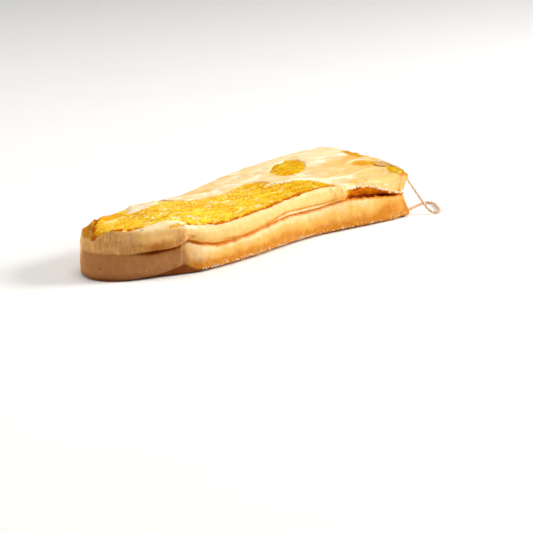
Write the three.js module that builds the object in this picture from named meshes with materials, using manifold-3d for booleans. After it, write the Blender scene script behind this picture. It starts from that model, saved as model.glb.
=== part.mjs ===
// A slab of smoked pork fatback: rind and lower fat, a seam, upper fat, a layer of lean that is bare
// along the top and runs into the long side, a thin cover of fat, and a loop of twine through one end.
// Millimetres, +Z up. The slab lies on its rind at z = 0, the long cut side faces -Y and the oblique
// cut end faces -X. The plan is drawn with x = 0, y = 0 at the corner between those two cuts, and the
// finished group is moved so that the middle of the slab's underside is the origin.
import * as THREE from 'three';
import { mergeVertices } from 'three/addons/utils/BufferGeometryUtils.js';
import Module from 'manifold-3d';

// Plan: y of the front and back outlines at each x.
const FRONT_SPAN = [-38, 159];
const BACK_SPAN = [-34, 168];
const FRONT_OUTLINE = [
  [-38, 18.5], [-33, 13.2], [-15, 6], [0, 0.2], [8, -2.4], [40, -1.9], [90, 2.6], [125, -1.4], [159, -5],
];
const BACK_OUTLINE = [[-34, 42], [-14, 48.5], [20, 47.5], [60, 57], [110, 67.5], [142, 72], [168, 72.5]];
const NOSE_BOW = 6;         // how far the near end swells out
const FAR_END_BOW = 5.5;    // how far the far end swells out, in plan
const END_BOW_REACH = 0.12; // share of the length that either swelling takes in

// Heights along the front, by x.
const RIM_HEIGHT = [
  [-38, 24], [-33, 25.4], [-27, 25], [-14, 26.6], [-4, 26.2], [6, 23.4], [24, 22.2], [48, 23.4],
  [74, 25], [100, 25.8], [120, 25.4], [140, 24.2], [159, 23.2],
];
const SEAM_HEIGHT = [
  [-38, 12.8], [-18, 13.4], [-7, 15.2], [-1.5, 17.8], [6, 15.2], [18, 12.8], [34, 12.7], [68, 15.4],
  [90, 14.8], [114, 16.5], [136, 14.8], [159, 12.4],
];
const LIP_HEIGHT = [
  [-38, 19], [0, 21], [100, 21.5], [112, 22.4], [126, 22.2], [137, 19], [146, 15.6], [159, 15],
];
const BACK_HEIGHT = 25.6;
const BACK_HEIGHTS = [      // along the back
  [-34, 23.6], [-12, 23.8], [-4, 24.8], [8, 26], [20, 25.4], [34, 24.4], [52, 24.2], [90, 25.6], [168, 25.6],
];
const BACK_SEAM_HEIGHT = 14;
const CROWN = 0.8;          // rise of the top along the middle of the slab
const NOSE_DROP = 2.6;      // fall of the top at the near end
const NOSE_DROP_X = [-44, -31];
const TROUGH = 0.9;         // dip just behind the front rim
const TROUGH_AT = 9;
const TROUGH_WIDTH = 6;

// The lean: its bare band on top ends at the back on LEAN_BACK (y by x) and in front at the rim.
const LEAN_BACK = [
  [-20, 66], [-10, 44], [-2, 35], [8, 36.5], [18, 42], [28, 38], [40, 34.5], [60, 34.5], [78, 35.5],
  [88, 25], [102, 22.5], [110, 17], [114, 6], [118, -14],
];
const RIM_WIDTH = [[-38, -2], [-29, -2], [-24, 2.6], [-10, 3.6], [0, 2.6], [100, 2.6], [112, 3]];
const LEAN_THICKNESS = 4.2;
const LEAN_EDGE_THICKNESS = 1.6;  // where the lean comes out at the near cut
const RIM_OVER_LEAN = 1.5;        // how far the lean's underside is kept above the rim
const GROOVE_START = 113;         // x where the lean turns down into the long side
const GROOVE_END = 153;
const GROOVE_DEPTH = 2.6;
const GROOVE_FADE = 6;

// The cover of fat over the back and the far end, with the places where the lean shows through it.
const COVER_THICKNESS = 2.2;
const COVER_SLOPE = 0.34;         // thickness gained for each millimetre back from the lean's border
const BARE_DEPTH = 0.8;
const WINDOWS = [
  { x: 116.5, y: 46.2, long: 19, wide: 8.5, turn: 32 },
  { x: 158, y: 2, long: 11, wide: 6, turn: 76 },
];

// Section of the sides: how far each row of points is set in from the outline.
const FOOT_ROUND = 2.2;
const SEAM_CREASE = 0.7;
const LOWER_BULGE = 0.9;
const UPPER_BULGE = 0.9;
const TOP_ROUND = 3.2;
const FAR_END_ROUND = 1;          // most that a row is set in at the far end
const FAR_END_WAIST = 2.4;        // hollow of the far end face between top and foot
const FLAP = { from: -25, to: -1, out: 1.7 }; // the folded lobe on the near cut
const LAYER_GAP = 0.3;

// Mesh density.
const CELLS_LONG = 38;
const CELLS_WIDE = 14;
const SEAM_CELLS = 3;       // across the slab, in the surfaces between its layers
const LEAN_CELLS = 8;
const SHEET_BOTTOM = -10;

// Twine.
const TWINE_DIAMETER = 1.5;
const TWINE_SIDES = 8;
const TWINE_STEPS = 64;
const TWINE_ROUTE = [
  [159.8, 21.8, 20.4], [160, 20.2, 24], [160.5, 17.8, 26.8], [161.1, 14.6, 26.8], [161.5, 11, 26.1],
  [162, 7.6, 25.4], [163, 4.9, 24.1], [163.4, 2.6, 21.8], [163, 0.3, 19], [164.6, -2.2, 14.8],
  [166.6, -4.6, 10.2], [168.6, -6.9, 5.8], [170.4, -8.9, 2.4], [172.6, -10.9, 1], [175.6, -11.6, 0.9],
  [179, -9.4, 0.9], [182, -6, 0.9], [185, -2, 0.9], [187.4, 1.6, 0.9], [187.4, 5, 0.9],
  [184.2, 6.6, 0.9], [179.2, 6, 0.9], [174, 4.8, 0.9], [169.6, 3.7, 1], [165.6, 2.9, 1.6],
  [162.4, 2.6, 2.2], [159.8, 2.6, 2.6],
];
const TOP_HOLE = { at: [160, 20, 24.6], toward: [0.1, -0.5, 1], depth: 6, diameter: 3.8 };
const END_HOLE = { at: [161.5, 2.6, 2.4], toward: [1, 0, -0.18], depth: 4, diameter: 3.2 };
const HOLE_SIDES = 12;

const DEGREE = Math.PI / 180;
const { clamp, lerp, smoothstep } = THREE.MathUtils;

// Smooth curve through knots [x, value]: cubic between them, straight beyond both ends.
function along(knots, x) {
  const slope = (i) => {
    const low = knots[Math.max(i - 1, 0)];
    const high = knots[Math.min(i + 1, knots.length - 1)];
    return (high[1] - low[1]) / (high[0] - low[0]);
  };
  const last = knots.length - 1;
  if (x <= knots[0][0]) return knots[0][1] + slope(0) * (x - knots[0][0]);
  if (x >= knots[last][0]) return knots[last][1] + slope(last) * (x - knots[last][0]);
  const i = knots.findIndex((knot) => knot[0] > x) - 1;
  const [x0, y0] = knots[i];
  const [x1, y1] = knots[i + 1];
  const span = x1 - x0;
  const t = (x - x0) / span;
  const rise = t * t * (3 - 2 * t);
  const t0 = t * (1 - t) * (1 - t);
  const t1 = t * t * (t - 1);
  return y0 + (y1 - y0) * rise + span * (slope(i) * t0 + slope(i + 1) * t1);
}

// Plan position of u (near end to far end) and v (front to back).
function plan(u, v) {
  const frontX = lerp(...FRONT_SPAN, u);
  const backX = lerp(...BACK_SPAN, u);
  const swell = Math.max(0, 4 * v * (1 - v));
  const near = NOSE_BOW * swell * (1 - smoothstep(u, 0, END_BOW_REACH));
  const far = FAR_END_BOW * swell * smoothstep(u, 1 - END_BOW_REACH, 1);
  return [
    lerp(frontX, backX, v) - near + far,
    lerp(along(FRONT_OUTLINE, frontX), along(BACK_OUTLINE, backX), v),
  ];
}

function behindFront(x, y) {
  return y - along(FRONT_OUTLINE, clamp(x, ...FRONT_SPAN));
}

function acrossShare(x, y) {
  const front = along(FRONT_OUTLINE, clamp(x, ...FRONT_SPAN));
  const back = along(BACK_OUTLINE, clamp(x, ...BACK_SPAN));
  return clamp((y - front) / (back - front), 0, 1);
}

// ---- Surfaces, as heights over the plan ----

function topHeight(x, y) {
  const share = acrossShare(x, y);
  const rim = along(RIM_HEIGHT, clamp(x, ...FRONT_SPAN));
  const trough = TROUGH * Math.exp(-(((behindFront(x, y) - TROUGH_AT) / TROUGH_WIDTH) ** 2));
  const back = along(BACK_HEIGHTS, clamp(x, ...BACK_SPAN));
  const level = lerp(rim, back, smoothstep(share, 0, 0.45));
  const nose = NOSE_DROP * (1 - smoothstep(x, ...NOSE_DROP_X));
  return level + CROWN * Math.sin(Math.PI * share) - trough - nose;
}

function seamHeight(x, y) {
  const front = along(SEAM_HEIGHT, clamp(x, ...FRONT_SPAN));
  return lerp(front, BACK_SEAM_HEIGHT, smoothstep(acrossShare(x, y), 0, 0.5));
}

function inGroove(x) {
  const start = smoothstep(x, GROOVE_START, GROOVE_START + GROOVE_FADE);
  return start * (1 - smoothstep(x, GROOVE_END - GROOVE_FADE, GROOVE_END));
}

// Thickness of the cover of fat; below zero the lean is bare.
function coverThickness(x, y) {
  return clamp((y - along(LEAN_BACK, x)) * COVER_SLOPE, -BARE_DEPTH, COVER_THICKNESS);
}

// 1 inside a window, 0 outside all of them.
function inWindow(x, y) {
  const shares = WINDOWS.map(({ x: cx, y: cy, long, wide, turn }) => {
    const c = Math.cos(turn * DEGREE);
    const s = Math.sin(turn * DEGREE);
    const a = ((x - cx) * c + (y - cy) * s) / long;
    const b = ((y - cy) * c - (x - cx) * s) / wide;
    return 1 - smoothstep(Math.hypot(a, b), 0.82, 1.18);
  });
  return Math.max(...shares);
}

function leanTop(x, y) {
  const depth = behindFront(x, y);
  const inner = topHeight(x, y) - coverThickness(x, y);
  const nearSide = (1 - smoothstep(depth, 3, 13)) * smoothstep(x, GROOVE_START - 7, GROOVE_START + 4);
  const covered = lerp(inner, along(LIP_HEIGHT, clamp(x, ...FRONT_SPAN)), nearSide);
  return lerp(covered, topHeight(x, y) + BARE_DEPTH, inWindow(x, y));
}

function leanBottom(x, y) {
  const depth = behindFront(x, y);
  const rim = along(RIM_WIDTH, clamp(x, FRONT_SPAN[0], 112));
  const ramp = smoothstep(depth, rim - 1, rim + 5);
  const under = lerp(LEAN_EDGE_THICKNESS, LEAN_THICKNESS, smoothstep(depth, 0, 10));
  const rimmed = topHeight(x, y) + lerp(rim < 0 ? -under : RIM_OVER_LEAN, -under, rim < 0 ? 1 : ramp);
  const nearSide = (1 - smoothstep(depth, 4, 16)) * smoothstep(x, GROOVE_START - 1, GROOVE_START + 5);
  return lerp(rimmed, seamHeight(x, y) - 1, nearSide);
}

// ---- The whole slab as one block, then sliced into its layers ----

// Rows of a side from foot to top: height at (x, y), and how far the row is set in.
const SIDE_ROWS = [
  { z: () => 0, inset: FOOT_ROUND },
  { z: () => 0.7, inset: 0.6 },
  { z: () => 2.3, inset: -0.1 },
  { z: (x, y) => 0.5 * seamHeight(x, y), inset: -LOWER_BULGE },
  { z: (x, y) => seamHeight(x, y) - 1.7, inset: -0.6 * LOWER_BULGE },
  { z: (x, y) => seamHeight(x, y), inset: SEAM_CREASE },
  { z: (x, y) => lerp(seamHeight(x, y), lipHeight(x, y), 0.22), inset: -0.4 * UPPER_BULGE, groove: 1 },
  { z: (x, y) => lerp(seamHeight(x, y), lipHeight(x, y), 0.72), inset: -UPPER_BULGE, groove: 0.9 },
  { z: (x, y) => lipHeight(x, y) + 0.3, inset: -0.3 },
  { z: (x, y) => lerp(lipHeight(x, y), topHeight(x, y), 0.75), inset: 0.9 },
  { z: (x, y) => topHeight(x, y), inset: TOP_ROUND },
];
const ROWS = SIDE_ROWS.length - 1;

function lipHeight(x, y) {
  const front = along(LIP_HEIGHT, clamp(x, ...FRONT_SPAN));
  return lerp(front, BACK_HEIGHT - 4, smoothstep(acrossShare(x, y), 0, 0.3));
}

function slabGeometry() {
  const geometry = new THREE.BoxGeometry(1, 1, 1, CELLS_LONG, CELLS_WIDE, ROWS);
  const position = geometry.attributes.position;
  const length = FRONT_SPAN[1] - FRONT_SPAN[0];
  for (let i = 0; i < position.count; i++) {
    const u = position.getX(i) + 0.5;
    const v = position.getY(i) + 0.5;
    const row = SIDE_ROWS[Math.round((position.getZ(i) + 0.5) * ROWS)];
    const [x0, y0] = plan(u, v);
    const width = plan(u, 1)[1] - plan(u, 0)[1];
    const middle = 4 * (row.z(x0, y0) / BACK_HEIGHT) * (1 - row.z(x0, y0) / BACK_HEIGHT);
    const groove = row.groove ? row.groove * GROOVE_DEPTH * inGroove(x0) : 0;
    const upper = row.z(x0, y0) > seamHeight(x0, y0) + 0.5 ? 1 : 0;
    const flap = upper * FLAP.out * smoothstep(x0, FLAP.from - 2, FLAP.from + 4)
      * (1 - smoothstep(x0, FLAP.to - 4, FLAP.to + 3));
    const front = (lerp(row.inset, 0.4, inGroove(x0) * (row.groove ?? 0)) + groove - flap) / width;
    const back = row.inset / width;
    const near = row.inset / length;
    const far = (Math.min(row.inset, FAR_END_ROUND) + FAR_END_WAIST * middle) / length;
    const [x, y] = plan(lerp(near, 1 - far, u), lerp(front, 1 - back, v));
    position.setXYZ(i, x, y, row.z(x, y));
  }
  return geometry;
}

// Everything below one of the surfaces, lifted by rise. Its columns are the slab's own, with one more
// beyond each side.
function underGeometry(surface, rise, cellsWide) {
  const geometry = new THREE.BoxGeometry(1, 1, 1, CELLS_LONG + 2, cellsWide + 2, 1);
  const position = geometry.attributes.position;
  for (let i = 0; i < position.count; i++) {
    const u = lerp(-1 / CELLS_LONG, 1 + 1 / CELLS_LONG, position.getX(i) + 0.5);
    const v = lerp(-1 / cellsWide, 1 + 1 / cellsWide, position.getY(i) + 0.5);
    const [x, y] = plan(u, v);
    position.setXYZ(i, x, y, position.getZ(i) > 0 ? surface(x, y) + rise : SHEET_BOTTOM);
  }
  return geometry;
}

function holeGeometry({ at, toward, depth, diameter }) {
  const reach = 12;
  const geometry = new THREE.CylinderGeometry(diameter / 2, diameter / 2, depth + reach, HOLE_SIDES);
  geometry.translate(0, (reach - depth) / 2, 0);
  const turn = new THREE.Quaternion();
  turn.setFromUnitVectors(new THREE.Vector3(0, 1, 0), new THREE.Vector3(...toward).normalize());
  geometry.applyQuaternion(turn);
  geometry.translate(...at);
  return geometry;
}

const wasm = await Module();
wasm.setup();

function solid(geometry) {
  const bare = geometry.clone();
  bare.deleteAttribute('normal');
  bare.deleteAttribute('uv');
  const merged = mergeVertices(bare, 1e-4);
  return new wasm.Manifold(new wasm.Mesh({
    numProp: 3,
    vertProperties: new Float32Array(merged.attributes.position.array),
    triVerts: new Uint32Array(merged.index.array),
  }));
}

// The largest body of a solid, as a geometry.
function geometryOf(manifold) {
  const bodies = manifold.decompose().sort((a, b) => b.volume() - a.volume());
  const { vertProperties, triVerts } = bodies[0].getMesh();
  const geometry = new THREE.BufferGeometry();
  geometry.setAttribute('position', new THREE.BufferAttribute(new Float32Array(vertProperties), 3));
  geometry.setIndex(new THREE.BufferAttribute(new Uint32Array(triVerts), 1));
  geometry.computeVertexNormals();
  return geometry;
}

function under(surface, rise, cellsWide) {
  return solid(underGeometry(surface, rise, cellsWide));
}

function layerGeometries() {
  const half = LAYER_GAP / 2;
  const holes = solid(holeGeometry(TOP_HOLE)).add(solid(holeGeometry(END_HOLE)));
  const slab = solid(slabGeometry()).subtract(holes);
  const aboveSeam = slab.subtract(under(seamHeight, half, SEAM_CELLS));
  const aboveFat = aboveSeam.subtract(under(leanBottom, half, LEAN_CELLS));
  return {
    lower_fat: geometryOf(slab.intersect(under(seamHeight, -half, SEAM_CELLS))),
    upper_fat: geometryOf(aboveSeam.intersect(under(leanBottom, -half, LEAN_CELLS))),
    lean: geometryOf(aboveFat.intersect(under(leanTop, -half, CELLS_WIDE))),
    cover_fat: geometryOf(aboveFat.subtract(under(leanTop, half, CELLS_WIDE))),
  };
}

function twineGeometry() {
  const route = new THREE.CatmullRomCurve3(TWINE_ROUTE.map((point) => new THREE.Vector3(...point)));
  const section = new THREE.Shape();
  section.absarc(0, 0, TWINE_DIAMETER / 2, 0, 2 * Math.PI);
  return new THREE.ExtrudeGeometry(section, {
    curveSegments: TWINE_SIDES / 2,
    steps: TWINE_STEPS,
    extrudePath: route,
    bevelEnabled: false,
  });
}

const MATERIALS = {
  lower_fat: { color: 0xe9c08a, roughness: 0.5, metalness: 0 },
  upper_fat: { color: 0xf0cf9f, roughness: 0.5, metalness: 0 },
  lean: { color: 0xdfae30, roughness: 0.45, metalness: 0 },
  cover_fat: { color: 0xf6dfb8, roughness: 0.45, metalness: 0 },
  twine: { color: 0xc9a981, roughness: 0.85, metalness: 0 },
};

function mesh(name, geometry) {
  const made = new THREE.Mesh(geometry, new THREE.MeshStandardMaterial(MATERIALS[name]));
  made.name = name;
  return made;
}

const food = new THREE.Group();
for (const [name, geometry] of Object.entries(layerGeometries())) food.add(mesh(name, geometry));

const box = new THREE.Box3().setFromObject(food);
const middle = box.getCenter(new THREE.Vector3());

const fatback = new THREE.Group();
fatback.add(food, mesh('twine', twineGeometry()));
fatback.position.set(-middle.x, -middle.y, -box.min.z);

export default fatback;
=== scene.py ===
"""A slab of smoked pork fatback with a loop of twine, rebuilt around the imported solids.

The layers are drawn in millimetres on a plan of their own: x = 0, y = 0 is the corner between the long
cut side (y falls away from it) and the oblique cut end (x falls away from it), and z = 0 is the rind's
underside. u runs from the oblique end to the wide end, v from the long side to the back, both 0 to 1.
"""

import itertools
import math

import bpy
import numpy as np
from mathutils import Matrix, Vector


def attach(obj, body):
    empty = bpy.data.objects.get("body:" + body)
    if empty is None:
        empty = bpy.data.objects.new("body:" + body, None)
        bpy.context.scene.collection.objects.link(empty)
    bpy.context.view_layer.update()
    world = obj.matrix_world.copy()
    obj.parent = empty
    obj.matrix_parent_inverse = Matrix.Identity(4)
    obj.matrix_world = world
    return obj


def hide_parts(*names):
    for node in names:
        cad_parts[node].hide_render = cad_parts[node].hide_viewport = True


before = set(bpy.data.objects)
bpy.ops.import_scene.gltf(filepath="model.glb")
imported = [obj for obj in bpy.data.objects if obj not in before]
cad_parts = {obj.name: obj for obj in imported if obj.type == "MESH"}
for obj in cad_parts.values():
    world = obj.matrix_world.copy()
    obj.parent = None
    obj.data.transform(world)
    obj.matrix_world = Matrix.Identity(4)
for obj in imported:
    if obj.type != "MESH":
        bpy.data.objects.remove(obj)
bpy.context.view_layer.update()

MM = 0.001
BODY = "root"

# ---- Driving dimensions, in mm ----

PLAN_MIDDLE = (63.067, 33.788)  # the frame's origin, on the plan
FRONT_SPAN = (-38, 159)
BACK_SPAN = (-34, 168)
FRONT_OUTLINE = [
    (-38, 18.5), (-33, 13.2), (-15, 6), (0, 0.2), (8, -2.4), (40, -1.9), (90, 2.6), (125, -1.4), (159, -5),
]
BACK_OUTLINE = [(-34, 42), (-14, 48.5), (20, 47.5), (60, 57), (110, 67.5), (142, 72), (168, 72.5)]
NOSE_BOW = 6
FAR_END_BOW = 5.5
END_BOW_REACH = 0.12

RIM_HEIGHT = [
    (-38, 25.2), (-34.5, 26.4), (-31, 26), (-27.5, 25), (-23, 26), (-14, 26.8), (-4, 26.4), (6, 23.4),
    (24, 22.2), (48, 23.4), (74, 25), (100, 25.8), (120, 25.4), (140, 24.8), (150, 25.2), (159, 25.9),
]
SEAM_HEIGHT = [
    (-38, 13.8), (-31, 13.4), (-23, 13.3), (-8, 14.5), (-1.2, 17), (6, 14.9), (17, 12.5), (34, 12.6),
    (68, 15.4), (90, 14.8), (114, 16.5), (136, 14.8), (159, 12.4),
]
FOOT_LINE = [  # up to this height the foot of the near sides is brown: the rind, and near the corner a painted shadow where the underside curls up
    (-38, 1.6), (-26, 1), (-15, 2.4), (-8, 4.3), (-3.6, 6), (-1.5, 5.2), (3, 2.6), (10, 1.2), (30, 1),
    (159, 0.9),
]
SECOND_LINE_HEIGHT = [  # a thinner line over the seam, along the middle of the long side
    (16, 13.9), (24, 13.9), (33, 13.6), (40, 13.9), (49, 15.1), (56, 16.2), (68, 18.3), (79, 17.9),
    (91, 17.6), (99, 17.6), (112, 18.8),
]
LIP_HEIGHT = [  # the groove's upper lip, where the cover ends on the long side
    (-38, 19), (0, 21), (100, 21.5), (112, 22.4), (126, 22.2), (137, 19), (146, 15.6), (159, 15),
]
BACK_HEIGHT = 25.6
BACK_HEIGHTS = [
    (-34, 23.6), (-24, 23.8), (-12, 23.8), (-6, 24.2), (0, 25.4), (8, 26.2), (14, 26), (20, 25.5),
    (28, 24.8), (36, 24.2), (52, 24), (62, 24.6), (75, 25.2), (90, 25.6), (168, 25.6),
]
FAR_DIP = {"x": (148, 162), "y": (4, 13, 36, 60), "depth": 0.6}  # where the far end of the top lies lower
BACK_SEAM_HEIGHT = 14
CROWN = 0.8
NOSE_DROP = 2.4
NOSE_DROP_X = (-44, -33)
NOSE_DIP = {"x": (-39.5, -36), "y": 25.5, "half": 1.8, "depth": 1.3}  # notch in the rim of the narrow end
TROUGH = 0.9  # depth of the low trough that runs behind the rim
TROUGH_AT = 9
TROUGH_WIDTH = 6

LEAN_BACK = [  # the back border of the bare lean
    (-20, 46), (-12, 41), (-8, 38.8), (-3, 35.9), (4, 35.2), (10, 35.8), (14, 37.6), (17, 42), (19, 45),
    (22, 41), (28, 36.2), (36, 33.8), (52, 33.6), (65, 34.2), (74, 36), (80, 35.2), (84, 29), (88, 23.6),
    (101, 21), (105.5, 14.5), (109, 6), (111.5, -1), (114.5, -14),
]
RIM_WIDTH = [
    (-38, 2.4), (-30, 2.2), (-24, 2.4), (-16.7, 3.6), (-10, 5.2), (-5, 6.5), (0, 7.2), (2.5, 6.8),
    (5, 5.8), (7.5, 4.9), (10, 4.3), (15, 3.7), (29, 3.2), (41, 2.6), (55, 2), (75, 2), (93, 2.8),
    (104, 2.6), (112, 1.6),
]
RIM_END = 112
NOSE_RIM = 2.2  # how far the lean is set back from the narrow end
NOSE_CORNER = 68.6  # the lean ends where y - x is more than this
COVER_CORNER = 49  # and the cover, where y - x is more than this
NO_BORDER = 20  # a distance at which no border has any effect
PIT_DEPTH = 2  # of the hollow between the lean and the back corner of the narrow end, painted dark as its shade
STREAK = [(143, 28.2), (153.3, 30.7), (163.1, 28.1)]  # a pale raised streak on the cover, with a painted highlight along it
GRANULES = {"from": 117, "to": 155, "step": 1.2, "radius": (0.45, 0.9)}  # pale lumps along the groove's lip
BEADS = {"from": 6, "to": 157, "count": 260, "height": 2.2, "radius": (0.2, 0.42)}  # specks over the rind

# The rim's rolled tip over the lobe: how far behind the front its crest and the crevice under it lie.
FINGER = [(-18, 2.2), (-8, 4.4), (0, 6.6), (5, 8)]
FINGER_RISE = 1
CREVICE = [(-5, 0), (-2, 1.6), (1, 3.8), (5, 6), (9, 7)]
CREVICE_RISE = [(-13, 24.8), (-9, 25.6), (-4, 25.9)]  # the crevice's height where it runs up the lobe's face

SEAM_OVERLAP = 0.3  # how far each fat layer reaches past the seam
LEAN_THICKNESS = 4.2
LEAN_EDGE_THICKNESS = 1.6
GROOVE_START = 113
GROOVE_END = 153
LIP_SIDE = ((GROOVE_START - 5, GROOVE_START + 4), (3, 13))  # where the cover comes down to the lip
GROOVE_DEPTH = 2.4
GROOVE_TOP_DEPTH = 0.5
GROOVE_FADE = 6

FOOT_ROUND = 2.2
SEAM_CREASE = 0.85
SEAM_CREASE_WIDTH = 0.65
BULGE = 0.9
TOP_ROUND = 3.2
NOSE_TOP_ROUND = 1.1
BROW_HEIGHT = 3
FAR_END_ROUND = 1
FAR_END_WAIST = 2.4
FAR_CORNER_WAIST = 2.2
FLAP = {"start": -27.5, "end": -1, "out": 2.3}
FLAP_SLANT = 5  # how much farther out the lobe starts at its top
PLATE = {"end": -3.6, "out": 0.9}  # lower part of the oblique cut, a little proud
COVER_SKIRT = 2.4  # how thick the cover piece is where only its top shows
LAYER_EDGE_ROUND = 0.5

# Small lumps of the fat's surface: size in mm and salt, and their heights on each layer.
LUMPS = ((11, 20), (3.5, 21), (1.2, 22))
LOWER_RELIEF = (0.35, 0.22, 0.09)
UPPER_RELIEF = (0.3, 0.2, 0.08)
COVER_RELIEF = (0.2, 0.16, 0.07)

TWINE_PLY = {"radius": 0.4, "out": 0.37, "turn": 3.4}  # turn is the length in which a ply goes round once
NEVER_ALONG = [0.31, 0.2, 0.93]  # a direction that the twine doesn't take
TWINE_ROUTE = [
    (159.8, 21.8, 20.4), (160, 20.2, 24), (160.5, 17.8, 26.8), (161.1, 14.6, 26.8), (161.5, 11, 26.1),
    (162, 7.6, 25.4), (163, 4.9, 24.1), (163.4, 2.6, 21.8), (163, 0.3, 19), (164.6, -2.2, 14.8),
    (166.6, -4.6, 10.2), (168.6, -6.9, 5.8), (170.4, -8.9, 2.4), (172.6, -10.9, 1), (175.6, -11.6, 0.9),
    (179, -9.4, 0.9), (182, -6, 0.9), (185, -2, 0.9), (187.4, 1.6, 0.9), (187.4, 5, 0.9),
    (184.2, 6.6, 0.9), (179.2, 6, 0.9), (174, 4.8, 0.9), (169.6, 3.7, 1), (165.6, 2.9, 1.6),
    (162.4, 2.6, 2.2), (159.8, 2.6, 2.6),
]

PORES = [(-3.8, 11.8), (8.2, 13.3), (-40, 6.6)]  # small dark pores in the sides: x, z
PORE_SPREAD = 0.14

# Ovals on the plan: middle, half sizes, turn in degrees.
TONGUE = (84.5, 26, 7.5, 1.5, -4)  # cover that reaches into the lean
WINDOWS = [(116.5, 46.2, 18, 8, 32), (157, 1.5, 9.5, 4.6, 76)]  # where the lean shows through the cover
PATCHES = [(153.6, 23, 7.4, 4.4, -18), (165.6, 45, 8, 3.4, 79), (160.5, -1.5, 7.5, 4, 76)]  # golden cover

SLOT = ((155, 17.2), (158, 10.4))  # slot in the cover beside the twine, painted dark as its shade
SLOT_DEPTH = 1.2
SLOT_SPREAD = 1.8
ON_TOP = 20  # masks that belong to the top leave out points lower than this


# ---- Small mathematics ----

def rise(x, low, high):
    """0 at low and below, smoothly up to 1 at high."""
    t = np.clip((x - low) / (high - low), 0, 1)
    return t * t * (3 - 2 * t)


def fall(x, low, high):
    """1 at low and below, smoothly down to 0 at high."""
    return 1 - rise(x, low, high)


def between(x, start, full, fade, end):
    """1 from full to fade, and 0 up to start and from end on."""
    return rise(x, start, full) * fall(x, fade, end)


def bell(x, middle, width):
    return np.exp(-(((x - middle) / width) ** 2))


def lerp(a, b, t):
    return a + (b - a) * t


def along(knots, x):
    """Smooth curve through knots (x, value): cubic between them, straight beyond both ends."""
    kx, ky = np.array(knots, float).T
    slope = np.empty_like(ky)
    slope[1:-1] = (ky[2:] - ky[:-2]) / (kx[2:] - kx[:-2])
    slope[0] = (ky[1] - ky[0]) / (kx[1] - kx[0])
    slope[-1] = (ky[-1] - ky[-2]) / (kx[-1] - kx[-2])
    x = np.asarray(x, float)
    i = np.clip(np.searchsorted(kx, x, side="right") - 1, 0, len(kx) - 2)
    span = kx[i + 1] - kx[i]
    t = np.clip((x - kx[i]) / span, 0, 1)
    curve = ky[i] + (ky[i + 1] - ky[i]) * t * t * (3 - 2 * t)
    curve += span * (slope[i] * t * (1 - t) ** 2 + slope[i + 1] * t * t * (t - 1))
    beyond = np.minimum(x - kx[0], 0) * slope[0] + np.maximum(x - kx[-1], 0) * slope[-1]
    return curve + beyond


def hashed(cell, salt):
    """Three numbers in -1..1 for each whole-number cell."""
    mixed = cell[..., 0] * 73856093 ^ cell[..., 1] * 19349663 ^ cell[..., 2] * 83492791
    mixed = mixed ^ (salt * 2654435 + 97)
    out = []
    for _ in range(3):
        mixed = (mixed ^ (mixed >> 15)) * 2246822519 & 0xFFFFFFFF
        mixed = (mixed ^ (mixed >> 13)) * 3266489917 & 0xFFFFFFFF
        out.append((mixed & 0xFFFFFF) / 0x7FFFFF - 1)
    return np.stack(out, -1)


def noise(points, size, salt=0):
    """Smooth lumps of about that size, mostly within -1..1. size is one number or one for each axis."""
    q = points / np.asarray(size, float) + 31.7 * (salt + 1)
    cell = np.floor(q).astype(np.int64)
    f = q - cell
    w = f * f * f * (f * (f * 6 - 15) + 10)
    total = np.zeros(len(q))
    for corner in itertools.product((0, 1), repeat=3):
        step = np.array(corner)
        weight = np.prod(np.where(step, w, 1 - w), axis=1)
        total += weight * np.sum(hashed(cell + step, salt) * (f - step), axis=1)
    return total * 1.6


def grains(points, size, salt=0):
    """0 at the middle of each grain up to about 1 at the cracks between grains."""
    q = points / np.asarray(size, float) + 13.3 * (salt + 1)
    cell = np.floor(q).astype(np.int64)
    f = q - cell
    nearest = np.full(len(q), 9.0)
    second = np.full(len(q), 9.0)
    for step in itertools.product((-1, 0, 1), repeat=3):
        at = np.array(step) + 0.5 + 0.42 * hashed(cell + np.array(step), salt)
        far = np.sqrt(np.sum((at - f) ** 2, axis=1))
        second = np.minimum(second, np.maximum(nearest, far))
        nearest = np.minimum(nearest, far)
    return 1 - np.clip((second - nearest) * 2.2, 0, 1)


# ---- The slab's plan and surfaces ----

def plan(u, v):
    front_x = lerp(*FRONT_SPAN, u)
    back_x = lerp(*BACK_SPAN, u)
    swell = np.maximum(0, 4 * v * (1 - v))
    near = NOSE_BOW * swell * fall(u, 0, END_BOW_REACH)
    far = FAR_END_BOW * swell * rise(u, 1 - END_BOW_REACH, 1)
    x = lerp(front_x, back_x, v) - near + far
    return x, lerp(along(FRONT_OUTLINE, front_x), along(BACK_OUTLINE, back_x), v)


def front_of(x):
    return np.clip(x, *FRONT_SPAN)


def behind_front(x, y):
    return y - along(FRONT_OUTLINE, front_of(x))


def across_share(x, y):
    front = along(FRONT_OUTLINE, front_of(x))
    back = along(BACK_OUTLINE, np.clip(x, *BACK_SPAN))
    return np.clip((y - front) / (back - front), 0, 1)


def top_height(x, y):
    share = across_share(x, y)
    rim = along(RIM_HEIGHT, front_of(x))
    trough = TROUGH * bell(behind_front(x, y), TROUGH_AT, TROUGH_WIDTH)
    nose = NOSE_DROP * fall(x, *NOSE_DROP_X)
    notch = NOSE_DIP["depth"] * bell(y, NOSE_DIP["y"], NOSE_DIP["half"]) * fall(x, *NOSE_DIP["x"])
    far = FAR_DIP["depth"] * rise(x, *FAR_DIP["x"]) * between(y, *FAR_DIP["y"])
    back = along(BACK_HEIGHTS, np.clip(x, *BACK_SPAN))
    high = lerp(rim, back, rise(share, 0, 0.45)) + CROWN * np.sin(math.pi * share)
    return high - trough - nose - notch - far


def seam_height(x, y):
    front = along(SEAM_HEIGHT, front_of(x))
    return lerp(front, BACK_SEAM_HEIGHT, rise(across_share(x, y), 0, 0.5))


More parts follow.
